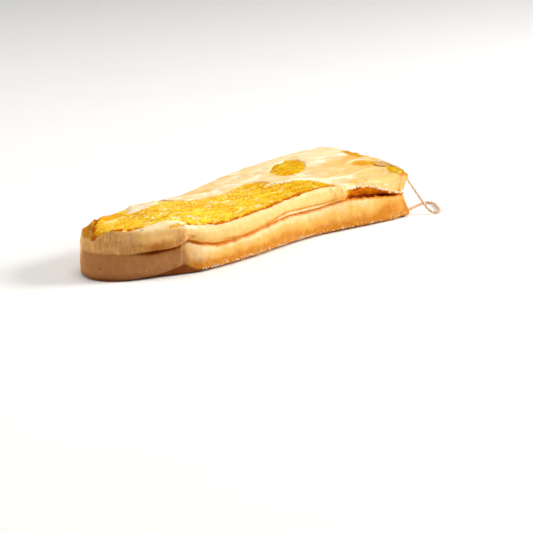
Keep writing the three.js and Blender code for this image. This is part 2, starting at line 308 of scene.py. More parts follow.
def lip_height(x, y):
    front = along(LIP_HEIGHT, front_of(x))
    return lerp(front, BACK_HEIGHT - 4, rise(across_share(x, y), 0, 0.3))


def in_groove(x):
    return between(x, GROOVE_START, GROOVE_START + GROOVE_FADE, GROOVE_END - GROOVE_FADE, GROOVE_END)


def flat_points(x, y):
    return np.stack([x, y, np.zeros_like(x)], -1)


def past_lean(x, y):
    """How far a place on the plan lies behind the bare lean's ragged border, in mm."""
    points = flat_points(x, y)
    ragged = 0.9 * noise(points, (9, 6, 9), 3) + 0.55 * noise(points, (2.6, 2, 2), 4)
    even = np.linspace(-40, 170, 421)
    steep = np.interp(x, even, np.gradient(along(LEAN_BACK, even), even[1] - even[0]))
    return (y - along(LEAN_BACK, x)) / np.sqrt(1 + steep**2) + ragged


def into_ovals(x, y, ovals=WINDOWS):
    """How far inside the nearest oval's ragged border a place lies, in mm, below zero outside."""
    points = flat_points(x, y)
    ragged = 0.9 * noise(points, (5, 4, 5), 6) + 0.45 * noise(points, (1.8, 1.5, 2), 7)
    return np.maximum.reduce([into_oval(x, y, *oval) for oval in ovals]) + ragged


def in_patch(x, y):
    """1 where the cover is golden."""
    return rise(into_ovals(x, y, PATCHES), -0.9, 0.5)


def in_slot(x, y):
    """1 along the slot in the cover, which is painted dark as its shade."""
    (ax, ay), (bx, by) = SLOT
    long = math.hypot(bx - ax, by - ay)
    run = ((x - ax) * (bx - ax) + (y - ay) * (by - ay)) / long
    aside = ((x - ax) * (by - ay) - (y - ay) * (bx - ax)) / long
    past_ends = np.maximum(np.abs(run - long / 2) - long / 2, 0)
    return np.exp(-(np.hypot(aside, past_ends) ** 2) / SLOT_SPREAD)


def into_oval(x, y, middle_x, middle_y, long, wide, turn):
    c, s = math.cos(math.radians(turn)), math.sin(math.radians(turn))
    a = ((x - middle_x) * c + (y - middle_y) * s) / long
    b = ((y - middle_y) * c - (x - middle_x) * s) / wide
    return (1 - np.hypot(a, b)) * min(long, wide)


def nose_gap(x, y):
    """How far behind the narrow end's outline a place lies, in mm."""
    v = np.clip((y - FRONT_OUTLINE[0][1]) / (BACK_OUTLINE[0][1] - FRONT_OUTLINE[0][1]), 0, 1)
    return x - lerp(FRONT_SPAN[0], BACK_SPAN[0], v) + NOSE_BOW * 4 * v * (1 - v)


def in_pit(x, y):
    """1 in the hollow at the back corner of the narrow end."""
    inside = (x + NOSE_CORNER - y) / math.sqrt(2) + 0.5 * noise(flat_points(x, y), 2.5, 15)
    border = np.minimum(nose_gap(x, y), along(BACK_OUTLINE, x) - y)
    return fall(inside, -0.6, 0.8) * rise(border, 0.9, 2.2) * fall(x, -27, -21)


def finger_crevice(x, y):
    """1 along the fine crevice under the rim's rolled tip."""
    beside = behind_front(x, y) - along(CREVICE, x) + 0.4 * noise(flat_points(x, y), 3, 14)
    return bell(beside, 0, 1.1) * between(x, -5, -2.5, 8, 11)


def face_crevice(x, z):
    """1 where that crevice runs up the lobe's face."""
    return bell(z, along(CREVICE_RISE, x), 0.6) * between(x, -13, -9, -4, -2)


def finger(x, y):
    """1 along the ridge of the rim's rolled tip."""
    return bell(behind_front(x, y), along(FINGER, x), 2.4) * between(x, -18, -9, -1, 6)


def cover_reach(x, y):
    """How far inside the cover's own border a place lies, in mm, below zero where the lean is bare."""
    tongue = into_oval(x, y, *TONGUE) * 1.6
    corner = np.where(x < 14, (x + COVER_CORNER - y) / 3, NO_BORDER)
    return np.minimum.reduce([np.maximum(past_lean(x, y), tongue), corner, -into_ovals(x, y)])


def past_rim(x, y):
    """How far behind the rim's ragged inner border a place lies, in mm."""
    points = flat_points(x, y)
    ragged = 0.8 * noise(points, (7, 5, 5), 8) + 0.35 * noise(points, (1.8, 1.5, 1.5), 9)
    front = behind_front(x, y) - along(RIM_WIDTH, np.clip(x, FRONT_SPAN[0], RIM_END))
    corner = np.where(x < -12, (x + NOSE_CORNER - y) / math.sqrt(2), NO_BORDER)
    return np.minimum.reduce([front, nose_gap(x, y) - NOSE_RIM, corner]) + ragged


def near_side(x, y, start, depth):
    """1 near the long side, from start on, falling to 0 over that depth behind the front."""
    return fall(behind_front(x, y), *depth) * rise(x, *start)


def ground(x, y):
    return np.zeros_like(x)


def lower_top(x, y):
    return seam_height(x, y) + SEAM_OVERLAP


def seam_bottom(x, y):
    return seam_height(x, y) - SEAM_OVERLAP


def upper_top(x, y):
    pit = in_pit(x, y)
    sunk = lerp(0, 3.2, rise(past_rim(x, y), -0.6, 1.6)) * (1 - pit) + PIT_DEPTH * pit
    high = top_height(x, y) - sunk + FINGER_RISE * finger(x, y) - 1.7 * finger_crevice(x, y)
    in_lean = near_side(x, y, (GROOVE_START - 4, GROOVE_START + 6), (6, 18))
    return lerp(high, seam_height(x, y) + 0.8, in_lean)


def lean_bottom(x, y):
    thickness = lerp(LEAN_EDGE_THICKNESS, LEAN_THICKNESS, rise(behind_front(x, y), 0, 10))
    under = top_height(x, y) - thickness - 1.8
    side = near_side(x, y, (GROOVE_START - 9, GROOVE_START - 3), (4, 16))
    return lerp(under, seam_height(x, y) - 0.4, side)


def lean_top(x, y):
    crevice = 1.4 * bell(past_rim(x, y), 1.3, 1.2) * (x < RIM_END)
    lump = 1.1 * bell(nose_gap(x, y), 9, 5) * (x < 0)
    bare = top_height(x, y) - 0.2 - crevice + lump + 0.3 * rise(into_ovals(x, y), 0, 2)
    high = bare - 1.5 * rise(cover_reach(x, y), 0.4, 3)
    front = fall(past_rim(x, y), -0.8, 0.6)
    high = high - 2.6 * front - 1.6 * in_pit(x, y)
    side = near_side(x, y, *LIP_SIDE) * fall(into_ovals(x, y), -1, 0.6)
    return lerp(high, lip_height(x, y) + 0.4, side)


def streak(x, y):
    """1 along the cover's pale raised streak."""
    beside = y - along(STREAK, x) + 0.4 * noise(flat_points(x, y), 4, 16)
    return bell(beside, 0, 0.9) * between(x, 141, 146, 160, 165)


def cover_top(x, y):
    """The cover's top: it dips at its own border, with a ridge behind it, and has low folds."""
    reach = cover_reach(x, y)
    points = flat_points(x, y)
    folds = 0.55 * noise(points, (26, 7, 9), 11) + 0.32 * noise(points, (9, 3.5, 4), 12)
    at_lean = rise(-into_ovals(x, y), 4, 7)
    low = np.maximum(fall(x, -2, 8), between(x, 96, 104, 118, 126))
    ridge = (0.15 + 0.4 * at_lean * (1 - low)) * bell(reach, 1.8, 1.5) + 0.5 * streak(x, y)
    edge = rise(reach, -0.5, 0.9 + 1.6 * low)
    uneven = ridge + folds * (1 - 0.6 * low) * rise(reach, 0.5, 3)
    lift = lerp(-0.8 - 0.6 * at_lean, 0.15, edge) + uneven * edge
    lift = lift - 0.35 * in_patch(x, y) - SLOT_DEPTH * in_slot(x, y) - 0.3 * low * edge
    return top_height(x, y) + lift - 2 * at_lean * fall(reach, -3, -1)


def cover_bottom(x, y):
    teeth = 0.8 * noise(flat_points(x, y), (2.4, 9, 9), 17) * in_groove(x)
    under = top_height(x, y) - COVER_SKIRT - 2.5
    return lerp(under, lip_height(x, y) - 0.3 + teeth, near_side(x, y, *LIP_SIDE))


# ---- Sides: how far a height on the side is set in from the plan's outline ----

def set_in(x, y, z):
    seam, top, lip = seam_height(x, y), top_height(x, y), lip_height(x, y)
    foot = FOOT_ROUND * (1 - np.sqrt(1 - np.clip(1 - z / FOOT_ROUND, 0, 1) ** 2))
    low = np.clip(z / seam, 0, 1)
    high = np.clip((z - seam) / (lip + 1 - seam), 0, 1)
    flat = lerp(0.22, 1, rise(x, -28, -21))
    bulge = -BULGE * flat * (np.sin(math.pi * low) ** 0.8 + np.sin(math.pi * high) ** 0.9)
    crease = SEAM_CREASE * flat * bell(z, seam, SEAM_CREASE_WIDTH)
    rounding = lerp(NOSE_TOP_ROUND, TOP_ROUND, rise(x, -26, -14))
    brow = rounding * (1 - np.sqrt(1 - np.clip((z - top + BROW_HEIGHT) / BROW_HEIGHT, 0, 1) ** 2))
    lean_in = 1.6 * rise(z, seam, top) * fall(nose_gap(x, y), 3, 12)
    waist = FAR_CORNER_WAIST * bell(z / top, 0.52, 0.3) * rise(x, 146, 158)
    return foot + bulge + crease + brow + lean_in + waist


def on_flap(x, z, seam):
    """1 on the lobe of the rim at the oblique cut."""
    start = FLAP["start"] + FLAP_SLANT * fall(z, seam, seam + 9)
    return between(x, start - 2.6, start + 2.6, FLAP["end"] - 3, FLAP["end"] + 2)


def line_span(x):
    """1 where the second line runs."""
    return between(x, 16, 26, 104, 116)


def front_set_in(x, y, z):
    """The same for the near sides, with the groove, the second line, the lobe and the cut's lower part."""
    seam, lip = seam_height(x, y), lip_height(x, y)
    q = (z - seam) / (lip - seam)
    hollow = between(q, -0.05, 0.16, 0.8, 1.08) * in_groove(x)
    depth = lerp(GROOVE_DEPTH, GROOVE_TOP_DEPTH, rise(q, 0.15, 0.75))
    second = 0.6 * bell(z, along(SECOND_LINE_HEIGHT, x), 0.5) * line_span(x)
    flap = FLAP["out"] * on_flap(x, z, seam) * rise(z, seam + 0.1, seam + 1.3)
    flap = flap - 0.9 * face_crevice(x, z)
    foot = along(FOOT_LINE, x)
    plate = PLATE["out"] * between(x, -36, -24, PLATE["end"] - 0.5, PLATE["end"] + 0.5)
    plate = plate * between(z, foot - 0.9, foot + 0.4, seam - 0.6, seam)
    return lerp(set_in(x, y, z), 0.4, hollow) + depth * hollow + second - flap - plate


# ---- Meshes ----

def box_grid(nu, nv, nt):
    """u, v and t (0 to 1) of each point on a box's surface, and its quads, facing out."""
    counts = (nu, nv, nt)
    quads = []
    for axis, side in itertools.product(range(3), (0, 1)):
        a, b = (axis + 1) % 3, (axis + 2) % 3
        p, q = np.meshgrid(np.arange(counts[a]), np.arange(counts[b]), indexing="ij")
        corners = []
        for da, db in ((0, 0), (1, 0), (1, 1), (0, 1)):
            place = [None] * 3
            place[axis] = np.full(p.shape, side * counts[axis])
            place[a], place[b] = p + da, q + db
            corners.append(((place[0] * (nv + 1) + place[1]) * (nt + 1) + place[2]).ravel())
        face = np.stack(corners, 1)
        quads.append(face if side else face[:, ::-1])
    keys, index = np.unique(np.concatenate(quads), return_inverse=True)
    i, rest = np.divmod(keys, (nv + 1) * (nt + 1))
    j, k = np.divmod(rest, nt + 1)
    return i / nu, j / nv, k / nt, index.reshape(-1, 4)


def point_normals(points, quads):
    across = np.cross(points[quads[:, 2]] - points[quads[:, 0]], points[quads[:, 3]] - points[quads[:, 1]])
    total = np.stack([
        sum(np.bincount(quads[:, c], across[:, axis], len(points)) for c in range(4)) for axis in range(3)
    ], 1)
    return total / np.maximum(np.linalg.norm(total, axis=1, keepdims=True), 1e-12)


def layer_points(grid, bottom, top, tuck=0.0, start_v=None):
    """Points of one layer in plan millimetres. tuck sets the whole layer in."""
    u, v, t, quads = grid
    if start_v is not None:
        v = lerp(start_v(u), 1, v)
    x, y = plan(u, v)
    z = lerp(bottom(x, y), top(x, y), t)
    rounding = LAYER_EDGE_ROUND * (2 * np.abs(t - 0.5)) ** 6 + tuck
    length = FRONT_SPAN[1] - FRONT_SPAN[0]
    width = plan(u, 1)[1] - plan(u, 0)[1]
    near = (set_in(x, y, z) + rounding) / length
    middle = 4 * (z / BACK_HEIGHT) * (1 - z / BACK_HEIGHT)
    far = (np.minimum(set_in(x, y, z), FAR_END_ROUND) + rounding + FAR_END_WAIST * middle) / length
    front = (front_set_in(x, y, z) + rounding) / width
    back = (set_in(x, y, z) + rounding) / width
    x, y = plan(lerp(near, 1 - far, u), lerp(front, 1 - back, v))
    return np.stack([x, y, lerp(bottom(x, y), top(x, y), t)], 1), quads


def to_frame(points):
    return (points - np.array([*PLAN_MIDDLE, 0])) * MM


def make_piece(name, points, faces, material, masks):
    """One visual piece from plan millimetres and a list of faces, with its masks for the material."""
    mesh = bpy.data.meshes.new(name)
    mesh.from_pydata(to_frame(points).tolist(), [], faces)
    mesh.shade_smooth()
    for mask, values in masks.items():
        mesh.attributes.new(mask, "FLOAT", "POINT").data.foreach_set("value", np.asarray(values, np.float32))
    mesh.materials.append(material)
    piece = bpy.data.objects.new(name, mesh)
    bpy.context.collection.objects.link(piece)
    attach(piece, BODY)
    return piece


# ---- Materials ----

def linear(red, green, blue):
    """An sRGB colour, 0 to 255, as a shader's linear one."""
    parts = [c / 255 for c in (red, green, blue)]
    return tuple(c / 12.92 if c <= 0.04045 else ((c + 0.055) / 1.055) ** 2.4 for c in parts) + (1.0,)


class Shader:
    """A material's node tree, with one short call for each node."""

    def __init__(self, name):
        self.material = bpy.data.materials.new(name)
        self.material.use_nodes = True
        self.tree = self.material.node_tree
        self.surface = self.tree.nodes["Principled BSDF"]
        self.place = self.node("ShaderNodeTexCoord").outputs["Object"]

    def node(self, kind, inputs=None, **settings):
        made = self.tree.nodes.new(kind)
        for key, value in settings.items():
            setattr(made, key, value)
        for key, value in (inputs or {}).items():
            self.put(made.inputs[key], value)
        return made

    def put(self, socket, value):
        if isinstance(value, bpy.types.NodeSocket):
            self.tree.links.new(value, socket)
        else:
            socket.default_value = value

    def mask(self, name):
        return self.node("ShaderNodeAttribute", attribute_name=name).outputs["Fac"]

    def math(self, operation, a, b=0.0, clamp=False):
        made = self.node("ShaderNodeMath", operation=operation, use_clamp=clamp)
        self.put(made.inputs[0], a)
        self.put(made.inputs[1], b)
        return made.outputs[0]

    def times(self, a, b):
        return self.math("MULTIPLY", a, b)

    def noise(self, size_mm, detail=3.0, rough=0.55, stretch=(1, 1, 1), distortion=0.0):
        """Noise, 0 to 1, with lumps of that size."""
        scaled = self.node("ShaderNodeMapping", {"Vector": self.place, "Scale": stretch})
        made = self.node(
            "ShaderNodeTexNoise",
            {
                "Vector": scaled.outputs[0], "Scale": 1 / (size_mm * MM), "Detail": detail,
                "Roughness": rough, "Distortion": distortion,
            },
        )
        return made.outputs["Fac"]

    def spread(self, value, low, high, start=0.0, end=1.0):
        """value from low..high, taken to start..end."""
        made = self.node("ShaderNodeMapRange", {
            "Value": value, "From Min": low, "From Max": high, "To Min": start, "To Max": end,
        }, interpolation_type="SMOOTHSTEP")
        return made.outputs[0]

    def mix(self, share, a, b, blend="MIX"):
        """From a to b by share. Each is a socket or an sRGB colour, 0 to 255."""
        made = self.node("ShaderNodeMix", data_type="RGBA", blend_type=blend, clamp_factor=True)
        self.put(made.inputs["Factor"], share)
        self.put(made.inputs[6], linear(*a) if isinstance(a, tuple) else a)
        self.put(made.inputs[7], linear(*b) if isinstance(b, tuple) else b)
        return made.outputs[2]

    def bump(self, height, depth_mm, under=None):
        inputs = {"Height": height, "Distance": depth_mm * MM}
        if under is not None:
            inputs["Normal"] = under
        return self.node("ShaderNodeBump", inputs).outputs[0]

    def finish(
        self, colour, roughness, normal, specular=0.5, depth_mm=None, weight=0.0, glow=(1.0, 0.45, 0.2)
    ):
        """The finished material. With depth_mm, light spreads that far under its surface."""
        self.put(self.surface.inputs["Base Color"], colour)
        self.put(self.surface.inputs["Roughness"], roughness)
        self.put(self.surface.inputs["Normal"], normal)
        self.put(self.surface.inputs["Specular IOR Level"], specular)
        if depth_mm:
            self.put(self.surface.inputs["Subsurface Weight"], weight)
            self.put(self.surface.inputs["Subsurface Radius"], glow)
            self.put(self.surface.inputs["Subsurface Scale"], depth_mm * MM)
        return self.material


def fat_tones(s, fleck, pale, warm, deep):
    """Fat that goes from pale to warm to deep by its warm mask, which holds painted shade as well as smoked
    colour, with clouds and flecks.
    """
    shade = s.math("ADD", s.mask("warm"), s.spread(s.noise(9, 3, 0.55), 0.3, 0.7, -0.14, 0.14))
    colour = s.mix(s.spread(shade, 0.0, 0.5), pale, warm)
    colour = s.mix(s.spread(shade, 0.45, 1.1), colour, deep)
    pink = s.times(s.mask("pink"), s.spread(s.noise(6, 4, 0.6), 0.45, 0.75, 0, 0.5))
    colour = s.mix(pink, colour, (240, 190, 130))
    colour = s.mix(s.spread(s.noise(5, 4, 0.65), 0.5, 0.72, 0, 0.5), colour, warm)
    colour = s.mix(s.spread(fleck, 0.5, 0.8, 0, 0.2), colour, (252, 230, 168))
    return s.mix(s.spread(s.noise(0.7, 3, 0.6), 0.6, 0.8, 0, 0.3), colour, deep)


def shaded_cut_colour(s):
    """The oblique cut's colour: a browner smoked tone, darkened further as painted shade of a face turned
    from the light; paler in its upper layer, with pale and dark fibres there.
    """
    tan = s.mix(s.mask("high"), (178, 122, 70), (224, 166, 100))
    tan = s.mix(s.spread(s.noise(11, 2, 0.4), 0.4, 0.7, 0, 0.35), tan, (186, 122, 66))
    pale = s.spread(s.noise(0.9, 3, 0.6, stretch=(1, 1, 0.12)), 0.44, 0.64, 0, 0.6)
    tan = s.mix(s.times(pale, s.mask("high")), tan, (244, 196, 118))
    dark = s.spread(s.noise(2.2, 3, 0.6, stretch=(1, 1, 0.25)), 0.38, 0.54, 0.3, 0)
    tan = s.mix(s.times(dark, s.mask("high")), tan, (150, 90, 36))
    return s.mix(s.spread(s.noise(2.5, 4, 0.6), 0.42, 0.6, 0.2, 0), tan, (140, 88, 44))


def with_streaks(s, colour):
    """White and ochre streaks that run along the slab, where the streaks mask is."""
    white = s.spread(s.noise(6, 5, 0.62, stretch=(0.3, 1, 1), distortion=0.7), 0.5, 0.64, 0, 0.85)
    colour = s.mix(s.times(s.mask("streaks"), white), colour, (255, 249, 224))
    ochre = s.spread(s.noise(12, 5, 0.66, stretch=(0.6, 1, 1), distortion=0.4), 0.5, 0.66, 0, 0.85)
    return s.mix(s.times(s.mask("streaks"), ochre), colour, (240, 176, 76))


def with_marks(s, colour, fleck, seam):
    """Pale fat with painted highlights, gold, seam line, dark places (pores, stains and painted shade), and
    rind, which near the cut's corner also stands for painted shadow, each over the one before.
    """
    # painted highlight: ridges and lit places made paler, together with the fat's own pale strip
    colour = s.mix(s.mask("pale_and_highlight"), colour, (255, 243, 206))
    gold = s.mix(s.spread(s.noise(0.8, 3, 0.7), 0.4, 0.62), (206, 126, 0), (250, 206, 60))
    colour = s.mix(s.mask("gold"), colour, gold)
    line = s.times(s.mask("seam"), s.spread(fleck, 0.2, 0.6, 0.75, 1.0))
    colour = s.mix(line, colour, seam)
    colour = s.mix(s.times(s.mask("dark"), 0.95), colour, (96, 30, 0))
    # rind brown, which near the cut's corner also stands for painted shadow
    rind = s.mix(s.noise(1.5, 3, 0.6), (90, 38, 0), (156, 84, 0))
    return s.mix(s.mask("rind"), colour, rind)


def fat_material(name, pale, warm, deep, seam=(222, 130, 8)):
    """Smoked fat in a layer's own tones, with what the piece's masks put on it."""
    s = Shader(name)
    fleck = s.noise(1.1, 4, 0.6)
    colour = fat_tones(s, fleck, pale, warm, deep)
    # the oblique cut gets a darker tan: its smoked colour with painted shade
    colour = s.mix(s.mask("cut"), colour, shaded_cut_colour(s))
    colour = with_marks(s, with_streaks(s, colour), fleck, seam)
    rough = s.spread(s.noise(2.2, 3, 0.6), 0.3, 0.7, 0.36, 0.6)
    fine = s.bump(s.noise(0.45, 4, 0.65), 0.16)
    normal = s.bump(s.noise(2.4, 3, 0.55), 0.3, under=fine)
    return s.finish(colour, rough, normal, specular=0.12, depth_mm=0.9, weight=0.3, glow=(1.0, 0.55, 0.25))


def lean_material():
    """Smoked lean: golden grains with painted highlights on their tops, darker between them, and darker along
    the borders, where it is painted crevice shade.
    """
    s = Shader("smoked_lean")
    patches = s.noise(10, 4, 0.6, stretch=(0.5, 1, 1))
    streaks = s.noise(2.4, 5, 0.65, stretch=(0.3, 1, 1), distortion=0.5)
    speckle = s.noise(0.8, 3, 0.7, stretch=(0.6, 1, 1))
    colour = s.mix(s.spread(streaks, 0.36, 0.6), (228, 164, 4), (250, 212, 46))
    colour = s.mix(s.spread(patches, 0.46, 0.64, 0, 0.85), colour, (234, 166, 4))
    colour = s.mix(s.spread(speckle, 0.5, 0.64, 0, 0.85), colour, (254, 228, 110))
    dim = s.math("SUBTRACT", 1.0, s.spread(speckle, 0.34, 0.48), clamp=True)
    colour = s.mix(s.times(dim, 0.75), colour, (212, 138, 2))
    # painted highlight: whitish glints on the tops of the grains
    glint_noise = s.noise(3.2, 2, 0.5, stretch=(0.4, 1, 1))
    painted_glints = s.times(s.spread(glint_noise, 0.54, 0.66), s.spread(speckle, 0.42, 0.56))
    colour = s.mix(painted_glints, colour, (255, 246, 200))
    colour = s.mix(s.spread(s.mask("crack"), 0.5, 1.0, 0, 0.5), colour, (200, 120, 2))
    colour = s.mix(s.times(s.mask("plate"), 0.85), colour, (236, 160, 0))
    colour = s.mix(s.mask("far"), colour, (236, 222, 120), blend="MULTIPLY")
    # painted shade: dark brown along the crevice where the lean meets the rim
    ragged = s.spread(s.math("ADD", s.mask("border"), s.spread(speckle, 0.3, 0.7, -0.3, 0.3)), 0.3, 0.8)
    colour = s.mix(ragged, colour, s.mix(speckle, (150, 60, 0), (216, 118, 0)))
    brown = s.mix(s.spread(streaks, 0.36, 0.6), (176, 70, 0), (234, 134, 0))
    colour = s.mix(s.mask("groove"), colour, brown)
    # painted shade at the bottom of the groove and in the pit
    colour = s.mix(s.mask("dark"), colour, (112, 32, 0))
    rough = s.spread(s.noise(1.6, 3, 0.6), 0.3, 0.7, 0.34, 0.65)
    fine = s.bump(speckle, 0.2)
    normal = s.bump(streaks, 0.4, under=fine)
    return s.finish(colour, rough, normal, specular=0.03, depth_mm=0.5, weight=0.15, glow=(1.0, 0.6, 0.2))


def bead_material():
    s = Shader("fat_beads")
    colour = s.mix(s.noise(0.8, 2, 0.5), (226, 178, 128), (255, 232, 198))
    normal = s.bump(s.noise(0.4, 3, 0.6), 0.1)
    return s.finish(colour, 0.4, normal, depth_mm=1.2, weight=0.5)


def twine_material():
    s = Shader("twine_fibres")
    fibre = s.noise(0.35, 4, 0.65, stretch=(1, 1, 0.5))
    colour = s.mix(s.spread(s.mask("strand"), 0.0, 1.0), (232, 200, 164), (196, 152, 118))
    colour = s.mix(s.spread(fibre, 0.4, 0.7, 0, 0.7), colour, (246, 226, 198))
    # painted light on the twine's first part
    colour = s.mix(s.mask("start"), colour, (252, 236, 210))
    normal = s.bump(fibre, 0.15)
    return s.finish(colour, 0.8, normal, specular=0.25)


# ---- The pieces ----

def lumps(points, heights):
    return sum(height * noise(points, size, salt) for height, (size, salt) in zip(heights, LUMPS))


def relief(points, quads, heights):
    """Moves points along their normals by those lumps."""
    return points + point_normals(points, quads) * lumps(points, heights)[:, None]


def line_masks(points, long_side):
    """Masks of the seam line, of the part of it under the lobe, of the second line and the strip below it."""
    x, y, z = points.T
    seam = seam_height(x, y)
    width = 1.05 + 0.4 * noise(points, (5, 5, 60), 30) + 0.45 * noise(points, (1.6, 1.6, 60), 31)
    width = width * lerp(0.5, 1, rise(x, -28, -22)) * lerp(1, 0.75, rise(x, 30, 60))
    offset = 0.3 * noise(points, (2.5, 2.5, 60), 32)
    line = np.exp(-(((z - seam - offset) / np.maximum(width, 0.2)) ** 4))
    broken = rise(noise(points, (4, 4, 60), 33), -0.35, 0.25)
    under_lobe = rise(x, -24, -20) * (1 - long_side)
    seam_line = line * np.maximum(long_side, lerp(0.4 * broken, 1, under_lobe))
    above = z - along(SECOND_LINE_HEIGHT, x) - 0.6 * offset
    span = line_span(x) * (behind_front(x, y) < 6)
    second = bell(above, 0, 0.5 * width) * span
    strip = rise(z, seam + 0.9, seam + 1.5) * fall(above, -0.9, -0.4) * span
    return seam_line, line * under_lobe, second, strip


def rind_and_shadow_masks(points):
    """Masks of the rind and of the brown fat over it; near the corner both reach higher as a painted shadow.
    """
    x, y, z = points.T
    edge = np.where(behind_front(x, y) < 14, along(FOOT_LINE, x), 1.6)
    edge = edge + 0.4 * noise(points, (8, 8, 40), 34) + 0.2 * noise(points, (1.5, 1.5, 40), 35)
    return fall(z, edge - 0.8, edge + 0.7), fall(z, edge, edge + 3.4)


def warmth_and_shade_mask(points, long_side, brown):
    """Fat is warmer towards the rind, the far end, the cut and the back, and just over the seam. Towards the
    rind this is partly smoked colour and partly painted shade of the lower side; on the cut it is painted
    shade.
    """
    x, y, z = points.T
    seam = seam_height(x, y)
    below = z < seam
    low = np.clip(1 - z / seam, 0, 1)
    # darker towards the rind: smoked colour with painted shade of the lower side
    warm = below * lerp(1.9, 1.4, rise(x, 60, 110)) * low**1.3
    warm = warm + 0.1 * rise(x, 60, 120) + 0.5 * rise(x, 122, 150) + 0.25 * (1 - long_side)
    warm = warm + 0.35 * rise(behind_front(x, y), 40, 60) + 0.5 * brown * below
    return warm + 0.45 * fall(z - seam, 1, 6) * (~below)


def side_masks(points):
    """The masks of fat that shows on the sides, from where each point lies."""
    x, y, z = points.T
    seam = seam_height(x, y)
    below = z < seam
    behind = behind_front(x, y)
    ragged = 0.5 * noise(points, 3, 36) + 0.3 * noise(points, 1, 37)
    long_side = rise(x + ragged + 2.6 * below + 0.12 * (z - seam), -1.8, 1.2)
    lobe = on_flap(x, z, seam) * rise(z - 0.25 * np.maximum(x + 12, 0), seam + 1.5, seam + 8)
    seam_line, lobe_shade, second, strip = line_masks(points, long_side)
    rind, brown = rind_and_shadow_masks(points)
    stain = bell(x, -18, 6.5) * fall(z - seam + 2 * ragged, 3.5, 7) * (~below) * (behind < 5)
    orange_spot = bell(x, 1.2, 1.3) * bell(z, 19.2, 0.8) * (behind < 4)
    pores = sum(np.exp(-((x - px) ** 2 + (z - pz) ** 2) / PORE_SPREAD) for px, pz in PORES) * (behind < 4)
    # painted light: the long side just past the corner and the top of the lobe's fold made paler
    lit_corner = bell(x, 5, 6) * below * rise(z, 4, 9) * fall(z - seam, -2, -0.8)
    lit_fold = bell(x, -28.5, 2.5) * rise(z, seam + 6, seam + 9) * (behind < 5)
    # painted shade: the foot of the narrow end darkened, and the seam under the lobe darkened beneath its
    # overhang; pores and stains here are real
    foot = 0.55 * fall(z, 0.5, 5) * fall(x, -24, -10)
    dark = np.maximum.reduce([0.7 * lobe_shade, 0.8 * pores, 0.45 * stain, foot])
    none = np.zeros(len(points))
    return {
        "seam": np.clip(np.maximum.reduce([seam_line, second, orange_spot, 0.75 * stain]), 0, 1),
        "rind": rind,
        "warm": warmth_and_shade_mask(points, long_side, brown),
        "pink": np.clip(1 - long_side + 0.3, 0, 1),
        "dark": np.clip(dark, 0, 1),
        # the cut's mask carries painted shade along with the browner smoked tone
        "cut": (1 - long_side) * fall(behind, 12, 19) * (1 - 0.8 * lobe),
        "high": rise(z, seam - 0.5, seam + 1.5),
        # the pale strip over the seam is the fat's own colour; the rest here is painted highlight
        "pale_and_highlight": np.maximum.reduce([0.6 * strip, 0.12 * lit_fold, 0.3 * lit_corner]),
        "streaks": none,
        "gold": none,
    }


def rim_highlight(points):
    """Painted highlight along the top of the rim, brightest on the lobe."""
    x, y, z = points.T
    lobe = between(x, -28, -24, 3, 6)
    high = top_height(x, y) + FINGER_RISE * finger(x, y)
    along_rim = bell(z, high, 1.9) * fall(past_rim(x, y), -1, 0.4)
    share = 0.4 * rise(x, -28, 4) + 0.6 * lobe
    return np.clip(along_rim * share * (0.85 + 0.5 * noise(points, (6, 4, 4), 38)), 0, 1)


def lower_fat_piece(material):
    points, quads = layer_points(box_grid(380, 64, 34), ground, lower_top)
    moved = relief(points, quads, LOWER_RELIEF)
    moved[:, 2] = np.maximum(moved[:, 2], 0)
    masks = side_masks(points)
    piece = make_piece("fat_below_seam", moved, quads.tolist(), material, masks)
    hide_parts("lower_fat")


def upper_masks(points):
    """Side masks, with fissures near the far end, the pit and its painted shade, the rolled tip's crevice and
    the painted highlight on the rim's top.
    """
    x, y, z = points.T
    behind = behind_front(x, y)
    fissures = rise(noise(points, (0.9, 3, 6), 51), 0.05, 0.5) * rise(x, 96, 106) * (behind < 5)
    pit = in_pit(x, y) * (z > ON_TOP)
    # painted shade inside the pit
    pit_shade = (0.3 + 0.4 * noise(points, 1.6, 52)) * pit
    crevice = np.maximum(finger_crevice(x, y) * (z > ON_TOP), face_crevice(x, z) * (behind < 3))
    masks = side_masks(points)
    masks["rind"] = np.zeros(len(points))
    masks["seam"] = np.maximum.reduce([masks["seam"], 0.55 * fissures, 0.6 * pit])
    masks["dark"] = np.clip(np.maximum(masks["dark"], pit_shade), 0, 1)
    masks["gold"] = np.clip(1.3 * np.maximum(crevice, pit), 0, 1)
    masks["pale_and_highlight"] = np.maximum(masks["pale_and_highlight"], rim_highlight(points))
    return masks


def upper_fat_piece(material):
    u, v, t, quads = box_grid(380, 84, 28)
    points, quads = layer_points((u, v**1.6, t, quads), seam_bottom, upper_top)
    points[:, 1] += 4 * in_groove(points[:, 0]) * fall(points[:, 1], 0, 12)
    moved = relief(points, quads, UPPER_RELIEF)
    piece = make_piece("fat_over_seam", moved, quads.tolist(), material, upper_masks(points))
    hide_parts("upper_fat")


def tuck_lean(points):
    """Sets the lean's borders in, so that they stay under the rim, the cover and the lip."""
    x, y = points.T[:2]  # views: moving them moves the points
    hidden = between(x, -30, -26, GROOVE_START - 2, GROOVE_START + 3)
    y += 1.3 * hidden * fall(behind_front(x, y), 1.5, 4)
    x += 1.8 * fall(nose_gap(x, y), 2, 6)
    under_cover = rise(cover_reach(x, y), -1, 1.5)
    y -= 1.4 * under_cover * fall(along(BACK_OUTLINE, x) - y, 2, 6)
    y += 1.1 * rise(x, 149, 153) * fall(behind_front(x, y), 2, 5)


def lean_cracks(points):
    """1 along the cracks between the lean's grains, which are longer than wide."""
    bent = points + 0.8 * np.stack([noise(points, 5, salt) for salt in (40, 41, 42)], 1)
    return grains(bent, (3.4, 1.3, 1.4), 43) * rise(noise(points, (7, 3, 4), 47), -0.5, 0.4)


